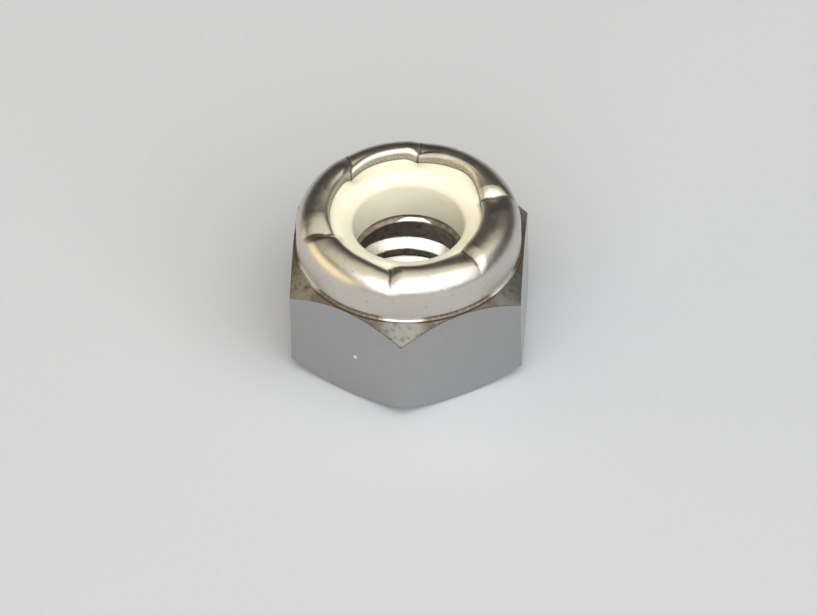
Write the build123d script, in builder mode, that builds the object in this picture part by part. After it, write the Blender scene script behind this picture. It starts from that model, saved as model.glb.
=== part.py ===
from build123d import *
import os
from math import cos, degrees, radians, sin, tan

# Hex lock nut with a trapped locking ring, in millimetres.
# The origin is the centre of the bearing face and +Z runs along the thread axis towards the collar.
# One corner of the hexagon points along -Y.

# Thread, as a plain bore at its minor diameter
thread_major_diameter = 6.35
thread_depth = 0.585          # from the major to the minor diameter, on each side
countersink_angle = 45.0      # at both ends, out to the major diameter

# Hexagon
hex_wall = 2.38               # from the thread's major diameter to a flat: 11.11 across flats
hex_height = 4.66             # bearing face to the top of each corner's upright edge
top_chamfer_angle = 43.0      # from the horizontal
foot_chamfer_height = 0.61    # at the corners
foot_chamfer_angle = 30.0

# Collar, turned just inside the flats
collar_inset = 0.145          # from a flat to the collar's wall
collar_ledge = 0.06           # flat left round the collar's foot, above the chamfer
foot_fillet = 0.05
collar_rise = 1.05            # straight wall, above the ledge
collar_wall = 0.75

# Lip, rolled in over the ring
crest_inset = 1.17            # from the collar's wall to the crest
shoulder_height = 1.22        # from the top of the straight wall to the crest
lip_thickness = 0.5
lip_under_radius = 0.15       # underside of the roll, past the crest
lip_turn_angle = 66.0         # how far the lip is rolled over past its crest
lip_edge_radius = 0.1

# Dents staked into the lip, a little unevenly, as they are on the real nut
dent_angles = (-74.0, -8.0, 46.0, 114.0, 177.0, 227.0)    # from the corner on -Y, towards +X
dent_edge_depth = 0.35        # at the lip's edge
dent_crest_depth = 0.25       # at the crest
dent_runout = 0.15            # where a dent ends, from the collar's wall
dent_slow_width = 1.1         # of its long slope, at the lip's edge
dent_steep_width = 0.6        # of its short slope, at the lip's edge
wedge_reach = 1.3             # height of the staking wedge, in depths of the dent at the lip's edge

# Locking ring
seat_depth = 0.72             # floor that the ring sits on, below the ledge
ring_grip = 0.495             # from the thread's major diameter in to the ring's bore
ring_clearance = 0.03         # to the collar's wall and the lip
ring_mouth_depth = 0.72       # height of its rounded mouth

# Hexagon and collar places that follow
across_flats = thread_major_diameter + 2 * hex_wall
corner_radius = across_flats / 2 / cos(radians(30))
collar_radius = across_flats / 2 - collar_inset
ledge_radius = collar_radius + collar_ledge
top_slope = tan(radians(top_chamfer_angle))
foot_slope = tan(radians(foot_chamfer_angle))
ledge_height = hex_height + (corner_radius - ledge_radius) * top_slope
bearing_radius = corner_radius - foot_chamfer_height / foot_slope
seat_height = ledge_height - seat_depth
pocket_radius = collar_radius - collar_wall
major_radius = thread_major_diameter / 2
minor_radius = major_radius - thread_depth
countersink_depth = thread_depth * tan(radians(countersink_angle))

# Lip places that follow
wall_top = ledge_height + collar_rise
nut_height = wall_top + shoulder_height
crest_radius = collar_radius - crest_inset
lip_roll_radius = lip_under_radius + lip_thickness
roll_centre_height = nut_height - lip_roll_radius
lip_edge_angle = radians(90 + lip_turn_angle)
lip_radius = crest_radius + lip_roll_radius * cos(lip_edge_angle)
lip_height = roll_centre_height + lip_roll_radius * sin(lip_edge_angle)

# Ring places that follow: lip_gap is the clearance square to the lip's end
lip_gap = ring_clearance * Vector(-sin(lip_edge_angle), cos(lip_edge_angle))
ring_outer_radius = pocket_radius - ring_clearance
ring_bore_radius = major_radius - ring_grip
ring_lip_radius = lip_radius + lip_gap.X
ring_top = lip_height + lip_gap.Y

# Section of the collar, from the seat up, over the crest and round to the lip's edge
with BuildSketch(Plane.XZ) as collar_section:
    with BuildLine():
        Line((pocket_radius, seat_height), (collar_radius, seat_height))
        Line((collar_radius, seat_height), (collar_radius, wall_top))
        EllipticalCenterArc((crest_radius, wall_top), crest_inset, shoulder_height, 0, arc_size=90)
        lip_top = CenterArc((crest_radius, roll_centre_height), lip_roll_radius, 90, lip_turn_angle)
        lip_under = CenterArc((crest_radius, roll_centre_height), lip_under_radius, 90, lip_turn_angle)
        Line(lip_top @ 1, lip_under @ 1)
        EllipticalCenterArc(
            (crest_radius, wall_top),
            crest_inset - collar_wall,
            shoulder_height - lip_thickness,
            0,
            arc_size=90,
        )
        Line((pocket_radius, wall_top), (pocket_radius, seat_height))
    make_face()
    lip_corners = [v for v in collar_section.vertices() if v.X < crest_radius - lip_edge_radius]
    fillet(lip_corners, lip_edge_radius)

# Section of the ring: it fills the pocket up to the lip, then rounds down to its bore
with BuildSketch(Plane.XZ) as ring_section:
    with BuildLine():
        mouth = EllipticalCenterArc(
            (ring_lip_radius, ring_top - ring_mouth_depth),
            ring_lip_radius - ring_bore_radius,
            ring_mouth_depth,
            90,
            arc_size=90,
        )
        under_roll = CenterArc(
            (crest_radius, roll_centre_height), lip_under_radius - ring_clearance, 90, lip_turn_angle
        )
        Polyline(mouth @ 0, under_roll @ 1 + lip_gap, under_roll @ 1)
        EllipticalCenterArc(
            (crest_radius, wall_top),
            ring_outer_radius - crest_radius,
            shoulder_height - lip_thickness - ring_clearance,
            0,
            arc_size=90,
        )
        Polyline(
            (ring_outer_radius, wall_top),
            (ring_outer_radius, seat_height),
            (ring_bore_radius, seat_height),
            mouth @ 1,
        )
    make_face()

# Groove that the staking tool leaves on top of the lip, along +X: a wedge whose edge runs on an arc
# from the lip's edge over the crest to its run-out on the shoulder
runout_height = wall_top + shoulder_height * (1 - (1 - dent_runout / crest_inset) ** 2) ** 0.5
groove_path = ThreePointArc(
    (lip_radius, 0, lip_height - dent_edge_depth),
    (crest_radius, 0, nut_height - dent_crest_depth),
    (collar_radius - dent_runout, 0, runout_height),
    mode=Mode.PRIVATE,
)
groove_centre = groove_path.arc_center
wedge_height = dent_edge_depth * wedge_reach
with BuildPart() as groove:
    with BuildSketch(Plane(groove_centre, x_dir=(0, 1, 0), z_dir=(0, 0, 1))):
        with BuildLine():
            Polyline(
                (0, groove_path.radius),
                (dent_steep_width * wedge_reach, groove_path.radius + wedge_height),
                (-dent_slow_width * wedge_reach, groove_path.radius + wedge_height),
                close=True,
            )
        make_face()
    revolve(axis=Axis(groove_centre, (0, 1, 0)), revolution_arc=180)

# Stretch of lip that each dent pushes down into the ring, and the room that it needs there
slow_angle = degrees(dent_slow_width / 2 / lip_radius)
steep_angle = degrees(dent_steep_width / 2 / lip_radius)
gap_angle = degrees(ring_clearance / lip_radius)
with BuildPart() as pressed_lip:
    add(collar_section.sketch)
    revolve(axis=Axis.Z, revolution_arc=slow_angle + steep_angle)
    Cylinder(crest_radius, 4 * nut_height, mode=Mode.INTERSECT)

with BuildPart() as ring_blank:
    add(ring_section.sketch)
    revolve(axis=Axis.Z)

with BuildPart() as ring_pocket:
    with BuildSketch(Plane.XZ):
        with Locations((ring_lip_radius, seat_height)):
            Rectangle(crest_radius + ring_clearance - ring_lip_radius, nut_height, align=Align.MIN)
    revolve(axis=Axis.Z, revolution_arc=slow_angle + steep_angle + 2 * gap_angle)
    add(ring_blank.part.moved(Location((0, 0, -dent_edge_depth))), mode=Mode.SUBTRACT)

dent_directions = [angle - 90 for angle in dent_angles]

with BuildPart() as nut_body:
    with BuildSketch():
        RegularPolygon(across_flats / 2, 6, major_radius=False, rotation=30)
    extrude(amount=ledge_height)
    # Cones that chamfer the corners at both ends, run out a little past them
    overrun = 1.0
    with BuildSketch(Plane.XZ):
        with BuildLine():
            Polyline(
                (0, 0),
                (bearing_radius, 0),
                (corner_radius + overrun, foot_chamfer_height + overrun * foot_slope),
                (corner_radius + overrun, hex_height - overrun * top_slope),
                (ledge_radius, ledge_height),
                (0, ledge_height),
                close=True,
            )
        make_face()
    revolve(axis=Axis.Z, mode=Mode.INTERSECT)
    # Pocket for the ring, then the collar and lip round it
    with BuildSketch(Plane.XY.offset(seat_height)):
        Circle(pocket_radius)
    extrude(amount=seat_depth, mode=Mode.SUBTRACT)
    add(collar_section.sketch)
    revolve(axis=Axis.Z)
    # Bore with a countersink at each end
    with BuildSketch(Plane.XZ):
        with BuildLine():
            Polyline(
                (0, 0),
                (major_radius, 0),
                (minor_radius, countersink_depth),
                (minor_radius, seat_height - countersink_depth),
                (major_radius, seat_height),
                (0, seat_height),
                close=True,
            )
        make_face()
    revolve(axis=Axis.Z, mode=Mode.SUBTRACT)
    # Small fillet where the collar's wall meets the ledge
    ledge_edges = nut_body.edges().filter_by_position(Axis.Z, ledge_height, ledge_height)
    ledge_circles = ledge_edges.filter_by(GeomType.CIRCLE)
    collar_foot = [edge for edge in ledge_circles if abs(edge.radius - collar_radius) < foot_fillet / 10]
    fillet(collar_foot, foot_fillet)
    # Each dent pushes the lip down, then leaves its groove on top
    for direction in dent_directions:
        add(pressed_lip.part.moved(Location((0, 0, -dent_edge_depth), (0, 0, direction - slow_angle))))
    for direction in dent_directions:
        add(groove.part.moved(Location((0, 0, 0), (0, 0, direction))), mode=Mode.SUBTRACT)

with BuildPart() as nylon_insert:
    add(ring_blank.part)
    for direction in dent_directions:
        pocket_start = direction - slow_angle - gap_angle
        add(ring_pocket.part.moved(Location((0, 0, 0), (0, 0, pocket_start))), mode=Mode.SUBTRACT)

os.makedirs("parts", exist_ok=True)
nut_body.part.label = "nut_body"
export_step(nut_body.part, "parts/nut_body.step")
nylon_insert.part.label = "nylon_insert"
export_step(nylon_insert.part, "parts/nylon_insert.step")
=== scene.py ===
import math

import bmesh
import bpy
from mathutils import Matrix, Vector, noise


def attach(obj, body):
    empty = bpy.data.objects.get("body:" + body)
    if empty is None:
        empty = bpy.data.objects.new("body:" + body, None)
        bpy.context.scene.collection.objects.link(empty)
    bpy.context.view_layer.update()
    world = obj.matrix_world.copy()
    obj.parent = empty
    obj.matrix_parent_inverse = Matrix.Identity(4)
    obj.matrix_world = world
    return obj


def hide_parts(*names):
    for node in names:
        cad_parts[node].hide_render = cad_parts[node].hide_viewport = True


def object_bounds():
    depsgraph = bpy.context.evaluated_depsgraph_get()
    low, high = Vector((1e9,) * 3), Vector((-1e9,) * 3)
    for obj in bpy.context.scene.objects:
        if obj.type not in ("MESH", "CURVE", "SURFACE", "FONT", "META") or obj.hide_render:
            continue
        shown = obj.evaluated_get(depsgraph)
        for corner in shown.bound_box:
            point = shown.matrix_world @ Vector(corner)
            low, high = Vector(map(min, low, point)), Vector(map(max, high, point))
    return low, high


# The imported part, which all of this is fitted to. Sizes are in millimetres until a piece is finished,
# and azimuths turn from the hexagon's corner on -Y towards +X.
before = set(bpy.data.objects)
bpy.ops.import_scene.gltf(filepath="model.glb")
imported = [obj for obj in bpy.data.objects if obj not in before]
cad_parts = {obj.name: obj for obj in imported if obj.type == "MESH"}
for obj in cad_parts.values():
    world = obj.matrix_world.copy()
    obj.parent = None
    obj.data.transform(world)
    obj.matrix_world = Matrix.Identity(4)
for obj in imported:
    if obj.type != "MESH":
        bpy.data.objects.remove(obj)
solid_low, solid_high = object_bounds()
metre = 1000                   # millimetres

# Steel body. A cold-formed blank: a bar's hexagon, chamfered at both ends, with a collar above it that
# is rolled in over the locking ring. Here the blank is turned in one piece and the hexagon cut from it.
nut_height = solid_high.z * metre
across_flats = (solid_high.x - solid_low.x) * metre
corner_radius = solid_high.y * metre
hex_height = 4.66
top_chamfer_slope = math.tan(math.radians(43))
foot_chamfer_slope = math.tan(math.radians(30))
foot_chamfer_height = 0.61
collar_inset = 0.145
collar_ledge = 0.06
foot_reach = 0.125             # of the flare round the collar's foot
foot_rise = 0.15
foot_hollow = 0.02             # of its middle, from straight
collar_wall = 0.75
crest_inset = 1.17             # from the collar's wall in to the crest
shoulder_height = 1.22         # from the top of the straight wall up to the crest
lip_thickness = 0.5
lip_reach = 0.485              # from the crest in to the lip's cut end
lip_round = 0.36               # height of its rounded edge, above the cut end
cut_height = 0.27
cut_round = 0.04
seat_depth = 0.72              # of the floor that the ring sits on, below the ledge
major_radius = 3.175
thread_depth = 0.585
mouth_depth = 0.37             # of the countersink that the ring sits over

collar_radius = across_flats / 2 - collar_inset
ledge_radius = collar_radius + collar_ledge
ledge_height = hex_height + (corner_radius - ledge_radius) * top_chamfer_slope
bearing_radius = corner_radius - foot_chamfer_height / foot_chamfer_slope
wall_top = nut_height - shoulder_height
crest_radius = collar_radius - crest_inset
pocket_radius = collar_radius - collar_wall
seat_height = ledge_height - seat_depth
lip_radius = crest_radius - lip_reach
cut_foot = nut_height - lip_round - cut_height
minor_radius = major_radius - thread_depth


def arc(centre, radii, start, turn, steps):
    """Points along an arc of an ellipse, both of its ends among them."""
    angles = [start + turn * step / steps for step in range(steps + 1)]
    return [(centre[0] + radii[0] * math.cos(a), centre[1] + radii[1] * math.sin(a)) for a in angles]


quarter_turn = math.pi / 2
chamfer_overrun = 1.0          # past the hexagon's corners, where the bar's flats cut it off
foot_radius = collar_radius + foot_reach
foot_height = ledge_height - (foot_radius - ledge_radius) * top_chamfer_slope
foot_middle = (collar_radius + foot_reach / 2 - foot_hollow, ledge_height + foot_rise / 2 - foot_hollow)
lip_centre = (crest_radius, nut_height - lip_round)
cut_centre = (lip_radius + cut_round, cut_foot + cut_round)
under_radii = (crest_inset - collar_wall, shoulder_height - lip_thickness)
blank_outline = [
    (major_radius, 0),
    (bearing_radius, 0),
    (corner_radius + chamfer_overrun, foot_chamfer_height + chamfer_overrun * foot_chamfer_slope),
    (corner_radius + chamfer_overrun, hex_height - chamfer_overrun * top_chamfer_slope),
    (foot_radius, foot_height),
    (foot_radius, ledge_height),
    foot_middle,
    (collar_radius, ledge_height + foot_rise),
    (collar_radius, ledge_height + foot_rise + foot_hollow),
    (collar_radius, (ledge_height + wall_top) / 2),
    *arc((crest_radius, wall_top), (crest_inset, shoulder_height), 0, quarter_turn, steps=24),
    *arc(lip_centre, (lip_reach, lip_round), quarter_turn, quarter_turn, steps=16)[1:],
    *arc(cut_centre, (cut_round, cut_round), math.pi, quarter_turn, steps=3),
    *arc((crest_radius, wall_top), under_radii, quarter_turn, -quarter_turn, steps=8),
    (pocket_radius, seat_height),
    (major_radius, seat_height),
    (minor_radius, seat_height - mouth_depth),
    (minor_radius, thread_depth),
]

same_point = 1e-4              # points nearer to each other than this are joined


def draw(name, outline):
    """Draws a closed outline in the XZ plane, point by point, and stays in edit mode."""
    bpy.ops.object.select_all(action="DESELECT")
    bpy.ops.mesh.primitive_plane_add()
    piece = bpy.context.object
    piece.name = name
    bpy.ops.object.mode_set(mode="EDIT")
    bpy.ops.mesh.select_mode(type="VERT")
    bpy.ops.mesh.merge(type="CENTER")
    bpy.ops.transform.translate(value=(outline[0][0], 0, outline[0][1]))
    for (x, z), (next_x, next_z) in zip(outline, outline[1:] + outline[:1]):
        bpy.ops.mesh.extrude_region_move(TRANSFORM_OT_translate={"value": (next_x - x, 0, next_z - z)})
    bpy.ops.mesh.select_all(action="SELECT")
    bpy.ops.mesh.remove_doubles(threshold=same_point)
    return piece


def spin(steps):
    """Turns the drawn outline once round the nut's axis into a closed shell."""
    bpy.ops.mesh.spin(steps=steps, angle=math.tau, center=(0, 0, 0), axis=(0, 0, 1))
    bpy.ops.mesh.select_all(action="SELECT")
    bpy.ops.mesh.remove_doubles(threshold=same_point)
    bpy.ops.mesh.normals_make_consistent(inside=False)
    bpy.ops.object.mode_set(mode="OBJECT")


def pick(piece):
    """Makes the piece the only selected object, and the active one."""
    bpy.ops.object.select_all(action="DESELECT")
    bpy.context.view_layer.objects.active = piece
    piece.select_set(True)


def apply(piece, kind, **settings):
    """Adds a modifier of that kind with those settings and applies it."""
    modifier = piece.modifiers.new(kind.lower(), kind)
    for name, value in settings.items():
        setattr(modifier, name, value)
    pick(piece)
    bpy.ops.object.modifier_apply(modifier=modifier.name)


turned_steps = 720             # in one turn
nut = draw("hex_nut", blank_outline)
spin(turned_steps)
bpy.ops.object.select_all(action="DESELECT")
bpy.ops.mesh.primitive_cylinder_add(vertices=6, radius=corner_radius, depth=3 * nut_height)
bar = bpy.context.object
apply(nut, "BOOLEAN", operation="INTERSECT", solver="EXACT", object=bar)
bpy.data.objects.remove(bar)

# The edges of the hexagon and its chamfers are worn to a small round
edge_round = 0.05
sharp_angle = math.radians(20)
bpy.ops.object.mode_set(mode="EDIT")
bpy.ops.mesh.select_all(action="SELECT")
bpy.ops.mesh.remove_doubles(threshold=edge_round / 10)
bpy.ops.mesh.select_mode(type="EDGE")
bpy.ops.mesh.select_all(action="DESELECT")
shape = bmesh.from_edit_mesh(nut.data)
for edge in shape.edges:
    nearest = min(vertex.co.xy.length for vertex in edge.verts)
    highest = max(vertex.co.z for vertex in edge.verts)
    on_hexagon = nearest > bearing_radius - edge_round / 10 and highest < ledge_height - edge_round / 10
    if on_hexagon and edge.calc_face_angle(0) > sharp_angle:
        edge.select_set(True)
bmesh.update_edit_mesh(nut.data)
bpy.ops.mesh.bevel(offset=edge_round, segments=3, profile=0.5, clamp_overlap=False)
bpy.ops.object.mode_set(mode="OBJECT")
flat_turns = [side * math.tau / 6 for side in range(6)]
flat_normals = [Vector((math.cos(turn), math.sin(turn), 0)) for turn in flat_turns]
for vertex in nut.data.vertices:
    for normal in flat_normals:
        vertex.co -= normal * max(vertex.co.dot(normal) - across_flats / 2, 0)

# Thread. A tap cuts it up from the bearing face, right-handed, and its last turn runs out below the
# countersink that the ring sits over.
pitch = 1.27
root_flat = pitch / 8
tap_reach = 0.14               # how far the cutter stands inside the bore
tap_start = -1.060             # height of its first turn, at +X
tap_turns = 4
steps_per_turn = 120
full_depth_until = 3.55        # turns, after which the tap draws back
run_out = 0.35                 # turns that it takes to leave the steel
flank_depth = 0.44             # below it the root narrows
flank = math.tan(math.radians(42))
tip_share = 0.8                # of the root's width, at the full depth
half_root = root_flat / 2
half_tip = half_root * tip_share
half_mouth = half_root + (flank_depth + tap_reach) * flank
tap_outline = [
    (minor_radius - tap_reach, tap_start - half_mouth),
    (minor_radius + flank_depth, tap_start - half_root),
    (major_radius, tap_start - half_tip),
    (major_radius, tap_start + half_tip),
    (minor_radius + flank_depth, tap_start + half_root),
    (minor_radius - tap_reach, tap_start + half_mouth),
]
tap = draw("tap", tap_outline)
bpy.ops.object.mode_set(mode="OBJECT")
apply(
    tap,
    "SCREW",
    axis="Z",
    angle=math.tau,
    screw_offset=pitch,
    iterations=tap_turns,
    steps=steps_per_turn,
    render_steps=steps_per_turn,
)
for vertex in tap.data.vertices:
    turns = vertex.index // len(tap_outline) / steps_per_turn
    withdrawn = min(max((turns - full_depth_until) / run_out, 0), 1) * (thread_depth + edge_round)
    vertex.co.xy *= 1 - withdrawn / vertex.co.xy.length
pick(tap)
bpy.ops.object.mode_set(mode="EDIT")
bpy.ops.mesh.select_all(action="SELECT")
bpy.ops.mesh.fill_holes(sides=len(tap_outline))
bpy.ops.mesh.select_all(action="SELECT")
bpy.ops.mesh.normals_make_consistent(inside=False)
bpy.ops.object.mode_set(mode="OBJECT")
apply(nut, "BOOLEAN", operation="DIFFERENCE", solver="EXACT", object=tap)
bpy.data.objects.remove(tap)

# Six dents staked one by one into the rolled lip. A punch drags each crease from the lip's edge over
# the crest and down the shoulder: a long slope sinks towards it and a short, steep one rises past it.
# Azimuth at the lip's edge and on the shoulder, and depth at the edge and at the crest
stakes = [
    (-62.5, -71.5, 0.24, 0.42),
    (-10, -6, 0.38, 0.28),
    (47, 44.5, 0.22, 0.24),
    (106, 106, 0.26, 0.34),
    (175, 176, 0.26, 0.34),
    (228, 218, 0.28, 0.3),
]
sink_width = 3.0               # of the long slope
sink_share = 0.3               # of a dent's depth that the long slope sinks to
hollow_width = 1.35            # of the hollow at its end
hollow_curve = 1.8             # how much the hollow deepens towards the crease
rise_width = 0.75              # of the steep slope
crease_round = 0.02
crease_foot = math.radians(18)  # where a crease fades out on the shoulder, from the top of the wall
crease_fade = 1.3              # how fast it does
mouth_fade = 0.4               # how far inside the lip's edge a dent still presses the ring
lip_shade = 0.65               # of full painted shade, at the lip's cut end
crease_shade_width = 0.08             # of the painted shade along each crease
crease_shade_reach = 2                # which keeps it full down to the middle of the shoulder

# The roll closed a little off centre and out of round, stayed open wider on one side, and is not
# quite even
opening_shift = Vector((-0.128, 0.105, 0))
opening_oval = 0.1
slack_azimuth = math.radians(136)
slack_width = math.radians(17)
slack_reach = 0.26
wobble_depth = 0.02            # of the slow waves in the roll
wobble_size = 1.3


def press(point):
    """Where a point of the lip, or of the ring under it, ends up once staked, and how much painted shade
    it gets.
    """
    radius, height = point.xy.length, point.z
    outward = Vector((point.x / radius, point.y / radius, 0))
    azimuth = math.atan2(point.x, -point.y)
    inside = min(max(1 - (lip_radius - radius) / mouth_fade, 0), 1)
    if radius > crest_radius:
        up, out = max(height - wall_top, 0) / shoulder_height, (radius - crest_radius) / crest_inset
        over_shoulder = max(math.atan2(up, out) - crease_foot, 0) / (quarter_turn - crease_foot)
        over_lip = 0
        way = (outward * (crest_radius - radius) + Vector((0, 0, wall_top - height))).normalized()
    else:
        over_shoulder = 1
        over_lip = min((crest_radius - radius) / (crest_radius - lip_radius), 1)
        way = Vector((0, 0, -1))
    drop = wobble_depth * over_shoulder * (0.5 + 0.5 * noise.noise(point / wobble_size))
    # Painted shade, darkest at the lip's cut end and along each crease below
    shade_and_scrapes = lip_shade * over_lip**2
    for lip_azimuth, shoulder_azimuth, edge_depth, crest_depth in stakes:
        crease = shoulder_azimuth + (lip_azimuth - shoulder_azimuth) * (over_shoulder + over_lip) / 2
        depth = (crest_depth + (edge_depth - crest_depth) * over_lip) * over_shoulder**crease_fade
        aside = radius * math.remainder(azimuth - math.radians(crease), math.tau)
        away = math.hypot(aside, crease_round) - crease_round
        if aside > 0:
            share = max(1 - away / rise_width, 0) ** 2
        else:
            share = sink_share * max(1 - away / sink_width, 0)
            share += (1 - sink_share) * max(1 - away / hollow_width, 0) ** hollow_curve
        drop = max(drop, depth * share)
        along_crease = min(over_shoulder * crease_shade_reach, 1)
        shade_and_scrapes = max(shade_and_scrapes, math.exp(-((away / crease_shade_width) ** 2)) * along_crease)
    from_slack = math.remainder(azimuth - slack_azimuth, math.tau) / slack_width
    slack = slack_reach * math.exp(-(from_slack**2))
    wider = slack + opening_oval * (outward.y**2 - outward.x**2)
    return point + (way * drop + (opening_shift + outward * wider) * over_lip) * inside, shade_and_scrapes * inside


def stake(piece):
    """Presses the piece's vertices above the collar's straight wall, and stores the painted shade on
    them.
    """
    shade_and_scrapes = piece.data.attributes.new("shade_and_scrapes", "FLOAT", "POINT")
    for vertex in piece.data.vertices:
        if vertex.co.z > wall_top and vertex.co.xy.length < collar_radius:
            vertex.co, shade_and_scrapes.data[vertex.index].value = press(vertex.co)


stake(nut)

# Painted shade lies round the collar's foot, and is left off it over the hexagon's corners, so that the
# flare stays bright only there
unshaded_turn = math.radians(13)  # to each side of a corner
foot_shade = nut.data.attributes["shade_and_scrapes"].data
for vertex in nut.data.vertices:
    radius, height = vertex.co.xy.length, vertex.co.z
    at_foot = collar_radius - foot_hollow < radius < foot_radius + foot_hollow
    if at_foot and foot_height - foot_hollow < height < ledge_height + foot_rise + foot_hollow / 2:
        from_corner = math.remainder(math.atan2(vertex.co.x, -vertex.co.y), math.tau / 6)
        foot_shade[vertex.index].value = min(abs(from_corner) / unshaded_turn, 1) ** 2


def finish_piece(piece, smooth_angle, node):
    """Shades the piece, brings its mesh to metres, and lets it stand for its solid."""
    pick(piece)
    bpy.ops.transform.resize(value=(1 / metre,) * 3, center_override=(0, 0, 0))
    bpy.ops.object.transform_apply(location=True, rotation=True, scale=True)
    bpy.ops.object.shade_smooth_by_angle(angle=math.radians(smooth_angle))
    apply(piece, "WEIGHTED_NORMAL", keep_sharp=True)
    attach(piece, "root")
    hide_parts(node)


class Socket:
    """A shader socket. Arithmetic on it adds Math nodes, and node() adds any other, set and linked."""

    def __init__(self, tree, output):
        self.tree = tree
        self.output = output

    def node(self, kind, settings, inputs, output=0):
        made = self.tree.nodes.new("ShaderNode" + kind)
        for name, value in settings.items():
            setattr(made, name, value)
        for name, value in inputs.items():
            if isinstance(value, Socket):
                self.tree.links.new(value.output, made.inputs[name])
            else:
                made.inputs[name].default_value = value
        return Socket(self.tree, made.outputs[output])

    def worked_out(self, operation, *values):
        return self.node("Math", {"operation": operation}, dict(enumerate(values)))

    def __add__(self, other):
        return self.worked_out("ADD", self, other)

    def __sub__(self, other):
        return self.worked_out("SUBTRACT", self, other)

    def __rsub__(self, other):
        return self.worked_out("SUBTRACT", other, self)

    def __mul__(self, other):
        return self.worked_out("MULTIPLY", self, other)

    __radd__ = __add__
    __rmul__ = __mul__

    def step(self, start, end):
        """0 below start and 1 above end, or the other way round where start is the greater."""
        limits = {"Value": self, "From Min": start, "From Max": end}
        return self.node("MapRange", {"interpolation_type": "SMOOTHSTEP"}, limits)

    def noise(self, size, detail=2, roughness=0.5):
        """Cloudy values from 0 to 1, whose lumps are about that many millimetres across."""
        look = {"Vector": self, "Scale": 1 / size, "Detail": detail, "Roughness": roughness}
        return self.node("TexNoise", {}, look)

    def mix(self, first, second):
        """From the first colour to the second, by this value."""
        return self.node("Mix", {"data_type": "RGBA"}, {0: self, 6: first, 7: second}, 2)

    def far_from(self, point):
        """How far this place is from the point."""
        return self.node("VectorMath", {"operation": "DISTANCE"}, {0: self, 1: point}, "Value")

    def height(self):
        return self.node("SeparateXYZ", {}, {0: self}, "Z")

    def radius(self):
        """How far this place is from the nut's axis."""
        flat = self.node("VectorMath", {"operation": "MULTIPLY"}, {0: self, 1: (1, 1, 0)})
        return flat.node("VectorMath", {"operation": "LENGTH"}, {0: flat}, "Value")


def new_material(name):
    """A material, its main shader and the place on the piece in millimetres."""
    material = bpy.data.materials.new(name)
    material.use_nodes = True
    tree = material.node_tree
    shader = tree.nodes["Principled BSDF"]
    metres = Socket(tree, None).node("TexCoord", {}, {}, "Object")
    place = metres.node("VectorMath", {"operation": "SCALE"}, {0: metres, "Scale": metre})
    return material, shader, place


def feed(shader, **values):
    """Links values to the shader's sockets, whose names are given with _ for each space."""
    for name, value in values.items():
        value.tree.links.new(value.output, shader.inputs[name.replace("_", " ")])


def relief(place, height, depth):
    """Normals of a surface on which a height of 1 stands that many millimetres proud."""
    return place.node("Bump", {}, {"Height": height, "Distance": depth / metre})


# Finish of the steel. Forming left the collar and flats polished, the cutter left the chamfers satin,
# and dark brown painted shade lies at the lip's cut end, along the creases, round the collar's foot,
# beside the chamfers' corners and in the bore. Sizes of patterns are in millimetres.
# Colour of the painted shade, and how it sets in
shade_colour = (0.1, 0.07, 0.035, 1)
most_shade = 0.85              # of that colour, so that a crease keeps some shine
shade_starts = 0.2
shade_full = 1.1
shade_roughness = 0.2
scraped_colour = (0.95, 0.95, 0.95, 1)
cloud_size = 0.9               # of the broad waves that forming left
cloud_height = 8               # of those, in grain depths
bloom_size = 0.3               # of the specks in the dull patches
turning_width = 0.11           # of the fine rings that turning and tapping left
turning_height = 0.6           # of those, in grain depths
gloss_change = 0.16            # of the roughness, from place to place


def steel(name, bright, dull, patches, roughness, grain, grain_depth, added_marks=None):
    """Clouded, finely grained steel with dull patches, dark brown where shade is painted and bright
    where scraped.
    """
    material, shader, place = new_material(name)
    shader.inputs["Metallic"].default_value = 1
    rings = {0: place.radius() * (1 / turning_width), 1: place.height() * (1 / turning_width)}
    turned = place.node("CombineXYZ", {}, rings).noise(1)
    cloud = place.noise(cloud_size, detail=3)
    mottle = place.noise(grain, detail=3, roughness=0.6)
    patches_start = 0.72 - 0.4 * patches
    patches_full = 0.82 - 0.2 * patches
    bloom = place.noise(bloom_size, detail=5, roughness=0.65).step(patches_start, patches_full)
    shade_and_scrapes = place.node("Attribute", {"attribute_name": "shade_and_scrapes"}, {}, "Fac")
    if added_marks:
        shade_and_scrapes = shade_and_scrapes + added_marks(place)
    shade_and_scrapes = shade_and_scrapes * (0.5 + mottle)
    bare_steel = bloom.mix(bright, dull)
    shaded_steel = (shade_and_scrapes.step(shade_starts, shade_full) * most_shade).mix(bare_steel, shade_colour)
    gloss = (cloud - 0.5) * gloss_change + (mottle - 0.5) * gloss_change
    feed(
        shader,
        Base_Color=shade_and_scrapes.step(0, -1).mix(shaded_steel, scraped_colour),
        Roughness=roughness + gloss + shade_and_scrapes * shade_roughness,
        Normal=relief(place, cloud * cloud_height + mottle + turned * turning_height, grain_depth),
    )
    return material


# Painted brown shade on the upper chamfers, beside each corner
chamfer_shade_share = 0.65             # of full grime
chamfer_shade_from = 3                 # a height that leaves the foot chamfer unshaded
chamfer_shade_full = 4
corner_unshaded = 0.95            # cosines of six times the turn from a corner
corner_shaded = 0.3


def chamfer_shade(place):
    """Painted brown shade on the upper chamfers, to both sides of each corner."""
    x, y = [place.node("SeparateXYZ", {}, {0: place}, axis) for axis in "XY"]
    corner = place.worked_out("COSINE", place.worked_out("ARCTAN2", x, y) * 6)
    beside_corner = corner.step(corner_unshaded, corner_shaded)
    return beside_corner * place.height().step(chamfer_shade_from, chamfer_shade_full) * chamfer_shade_share


nick_place = (-2.327, -5.071, 2.67)
nick_radius = 0.12
nick_share = -2                # of full painted shade, negative: a scrape is the opposite of the painted shade


def nicked(place):
    """The one bright nick, on a front flat."""
    return place.far_from(nick_place).step(nick_radius, nick_radius / 2) * nick_share


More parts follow.
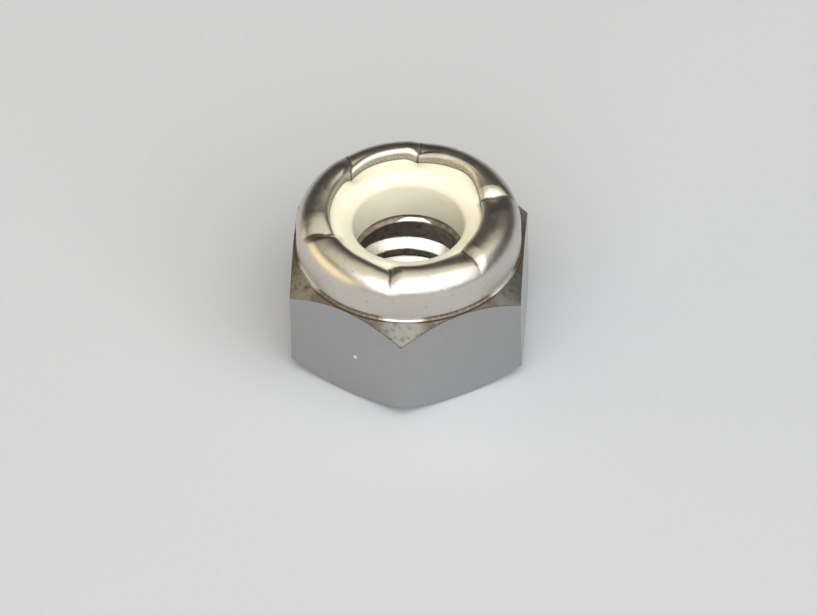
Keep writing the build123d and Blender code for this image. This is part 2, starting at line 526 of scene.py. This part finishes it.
crest_shade = 0.75               # of full painted shade
crest_shade_starts = minor_radius + 0.06
crest_shade_full = minor_radius + 0.02
mouth_shade_starts = (minor_radius - 0.02, 4.3)    # radius and height
mouth_shade_full = (minor_radius + 0.04, 4.5)
# A place at the back of the countersink left without painted shade, so that its highlight shows
glint_place = (0.1, 2.7, 4.5)
glint_radius = 1.1
glint_core = 0.3
glint_reach = 0.16             # how far out the painted shade is held back there


def bore_shade(place):
    """Painted shade on the thread's crests, and on the upper countersink but for its foot and one place
    left bright for its highlight.
    """
    crests = place.radius().step(crest_shade_starts, crest_shade_full) * crest_shade
    glint = place.far_from(glint_place).step(glint_radius, glint_core) * glint_reach
    across = (place.radius() - glint).step(mouth_shade_starts[0], mouth_shade_full[0])
    return crests + across * place.height().step(mouth_shade_starts[1], mouth_shade_full[1])


# The flats' steel is set darker than the collar's, as painted shade for the shaded floor that they
# mirror; the chamfers' is darker still
steels = [
    steel(
        "polished_collar",
        bright=(0.66, 0.63, 0.58, 1),
        dull=(0.46, 0.41, 0.33, 1),
        patches=0.35,
        roughness=0.34,
        grain=0.12,
        grain_depth=0.0025,
    ),
    steel(
        "satin_chamfers",
        bright=(0.24, 0.235, 0.22, 1),
        dull=(0.12, 0.105, 0.08, 1),
        patches=0.6,
        roughness=0.5,
        grain=0.1,
        grain_depth=0.006,
        added_marks=chamfer_shade,
    ),
    steel(
        "bright_flats",
        bright=(0.42, 0.42, 0.42, 1),
        dull=(0.35, 0.34, 0.31, 1),
        patches=0.3,
        roughness=0.2,
        grain=0.3,
        grain_depth=0.0012,
        added_marks=nicked,
    ),
    steel(
        "tapped_bore",
        bright=(0.7, 0.67, 0.62, 1),
        dull=(0.5, 0.44, 0.34, 1),
        patches=0.3,
        roughness=0.24,
        grain=0.3,
        grain_depth=0.002,
        added_marks=bore_shade,
    ),
]
for material in steels:
    nut.data.materials.append(material)
collar_steel, chamfer_steel, flat_steel, bore_steel = range(len(steels))
upright = 0.01                 # most that an upright face's normal rises
for face in nut.data.polygons:
    if face.center.xy.length < major_radius and face.center.z < seat_height:
        face.material_index = bore_steel
    elif face.center.z > ledge_height:
        face.material_index = collar_steel
    elif abs(face.normal.z) < upright or face.center.z < foot_chamfer_height:
        face.material_index = flat_steel
    else:
        face.material_index = chamfer_steel
finish_piece(nut, smooth_angle=30, node="nut_body")

# Locking ring. Ivory nylon, moulded with a rounded mouth, dropped into the collar and squeezed there as
# the lip is rolled over it; each dent bites into its top.
ring_grip = 0.495
ring_clearance = 0.015         # squeezed all but tight
ring_mouth_depth = 0.72
ring_rise = 0.12               # of its top, above the foot of the lip's cut end
ring_bore_radius = major_radius - ring_grip
ring_outer_radius = pocket_radius - ring_clearance
ring_lip_radius = lip_radius - ring_clearance
mouth_centre = (ring_lip_radius, cut_foot + ring_rise - ring_mouth_depth)
mouth_radii = (ring_lip_radius - ring_bore_radius, ring_mouth_depth)
under_ring = (ring_outer_radius - crest_radius, under_radii[1] - ring_clearance)
ring_outline = [
    (ring_outer_radius, seat_height),
    (ring_bore_radius, seat_height),
    *[(ring_bore_radius, seat_height + (mouth_centre[1] - seat_height) * up) for up in (0.33, 0.67)],
    *arc(mouth_centre, mouth_radii, math.pi, -quarter_turn, steps=20),
    (ring_lip_radius, cut_foot),
    (lip_radius + cut_round, cut_foot - ring_clearance),
    *arc((crest_radius, wall_top), under_ring, quarter_turn, -quarter_turn, steps=8),
]
ring = draw("locking_ring", ring_outline)
spin(turned_steps)
stake(ring)

ivory = (0.9, 0.875, 0.74, 1)
yellowed = (0.88, 0.845, 0.68, 1)
soft_gloss = 0.32
soft_gloss_change = 0.15
moulded_depth = 0.004          # of the mould's fine texture
moulded_waves = 3              # height of its broad waves, in those depths
moulded, shader, place = new_material("ivory_nylon")
shader.inputs["Subsurface Weight"].default_value = 0.15
shader.inputs["Subsurface Radius"].default_value = (1, 0.8, 0.45)
shader.inputs["Subsurface Scale"].default_value = 0.5 / metre
cloud = place.noise(size=0.8, detail=3)
mottle = place.noise(size=0.15, detail=3)
feed(
    shader,
    Base_Color=cloud.step(0.3, 0.7).mix(ivory, yellowed),
    Roughness=soft_gloss + (mottle - 0.5) * soft_gloss_change,
    Normal=relief(place, cloud * moulded_waves + mottle, moulded_depth),
)
ring.data.materials.append(moulded)
finish_piece(ring, smooth_angle=40, node="nylon_insert")

# Viewpoint. A little to the right of the nut's front corner and well above it, through a lens so long
# that upright edges stay all but parallel. The picture hangs on a point of the nut's axis.
view_azimuth = math.radians(4.19)
view_elevation = math.radians(44.08)
view_roll = math.radians(-1.186)
view_lens = 500
view_sensor = 36
view_distance = 546.7
hung_height = 3.889            # of that point
hung_above_middle = 1.961      # where that point shows, from the middle of the picture
hung_right_of_middle = 0.041

sideways = Vector((math.cos(view_azimuth), math.sin(view_azimuth), 0))
level = Vector((math.sin(view_azimuth), -math.cos(view_azimuth), 0))
backwards = level * math.cos(view_elevation) + Vector((0, 0, math.sin(view_elevation)))
upwards = backwards.cross(sideways)
picture_right = sideways * math.cos(view_roll) + upwards * math.sin(view_roll)
picture_up = upwards * math.cos(view_roll) - sideways * math.sin(view_roll)
hung_point = Vector((0, 0, hung_height))
picture_middle = hung_point - picture_up * hung_above_middle - picture_right * hung_right_of_middle

bpy.ops.object.select_all(action="DESELECT")
bpy.ops.object.camera_add()
camera = bpy.context.object
camera.name = "camera"
camera.matrix_world = Matrix.LocRotScale(
    (picture_middle + backwards * view_distance) / metre,
    Matrix((picture_right, picture_up, backwards)).transposed().to_quaternion(),
    None,
)
camera.data.lens = view_lens
camera.data.sensor_width = view_sensor
camera.data.clip_start = 0.01
camera.data.clip_end = 10
bpy.context.scene.camera = camera

# Floor and light. A sheet of pale matt paper in a dim room, under three soft lamps: a broad one in
# front, a warmer one over the back, and a low warm one at the left, for the golden band on the collar.
floor_size = 4                 # metres
pale_grey = (0.56, 0.59, 0.64, 1)
matt = 0.9
dim = (0.03, 0.028, 0.027, 1)
bpy.ops.object.select_all(action="DESELECT")
bpy.ops.mesh.primitive_plane_add(size=floor_size, location=(0, 0, 0))
floor = bpy.context.object
floor.name = "floor"
paper = bpy.data.materials.new("floor_paper")
paper.use_nodes = True
paper_shader = paper.node_tree.nodes["Principled BSDF"]
paper_shader.inputs["Base Color"].default_value = pale_grey
paper_shader.inputs["Roughness"].default_value = matt
floor.data.materials.append(paper)

room = bpy.data.worlds.new("room")
bpy.context.scene.world = room
room.use_nodes = True
room.node_tree.nodes["Background"].inputs["Color"].default_value = dim

lamp_distance = 0.5            # metres
lamp_level = 4                 # watts per square metre of lamp and unit of radiance


def softbox(name, azimuth, elevation, width, height, radiance, colour):
    """A flat lamp turned to the nut. Width and height are the angles that it spans from there."""
    turn, rise = math.radians(azimuth), math.radians(elevation)
    away = Vector((math.sin(turn) * math.cos(rise), -math.cos(turn) * math.cos(rise), math.sin(rise)))
    bpy.ops.object.light_add(type="AREA", location=away * lamp_distance)
    lamp = bpy.context.object
    lamp.name = name
    lamp.rotation_euler = away.to_track_quat("Z", "Y").to_euler()
    lamp.visible_camera = False
    lamp.data.shape = "RECTANGLE"
    lamp.data.size = 2 * lamp_distance * math.tan(math.radians(width / 2))
    lamp.data.size_y = 2 * lamp_distance * math.tan(math.radians(height / 2))
    lamp.data.energy = lamp_level * lamp.data.size * lamp.data.size_y * radiance
    lamp.data.color = colour


almost_white = (1.0, 0.98, 0.95)
warm = (1.0, 0.91, 0.71)
golden = (1.0, 0.84, 0.52)
softbox("front_light", azimuth=20, elevation=49, width=94, height=70, radiance=1.87, colour=almost_white)
softbox("top_light", azimuth=188, elevation=77, width=100, height=38, radiance=0.7, colour=warm)
softbox("left_light", azimuth=-80, elevation=14, width=66, height=25, radiance=1.4, colour=golden)

bpy.context.scene.view_settings.view_transform = "Standard"
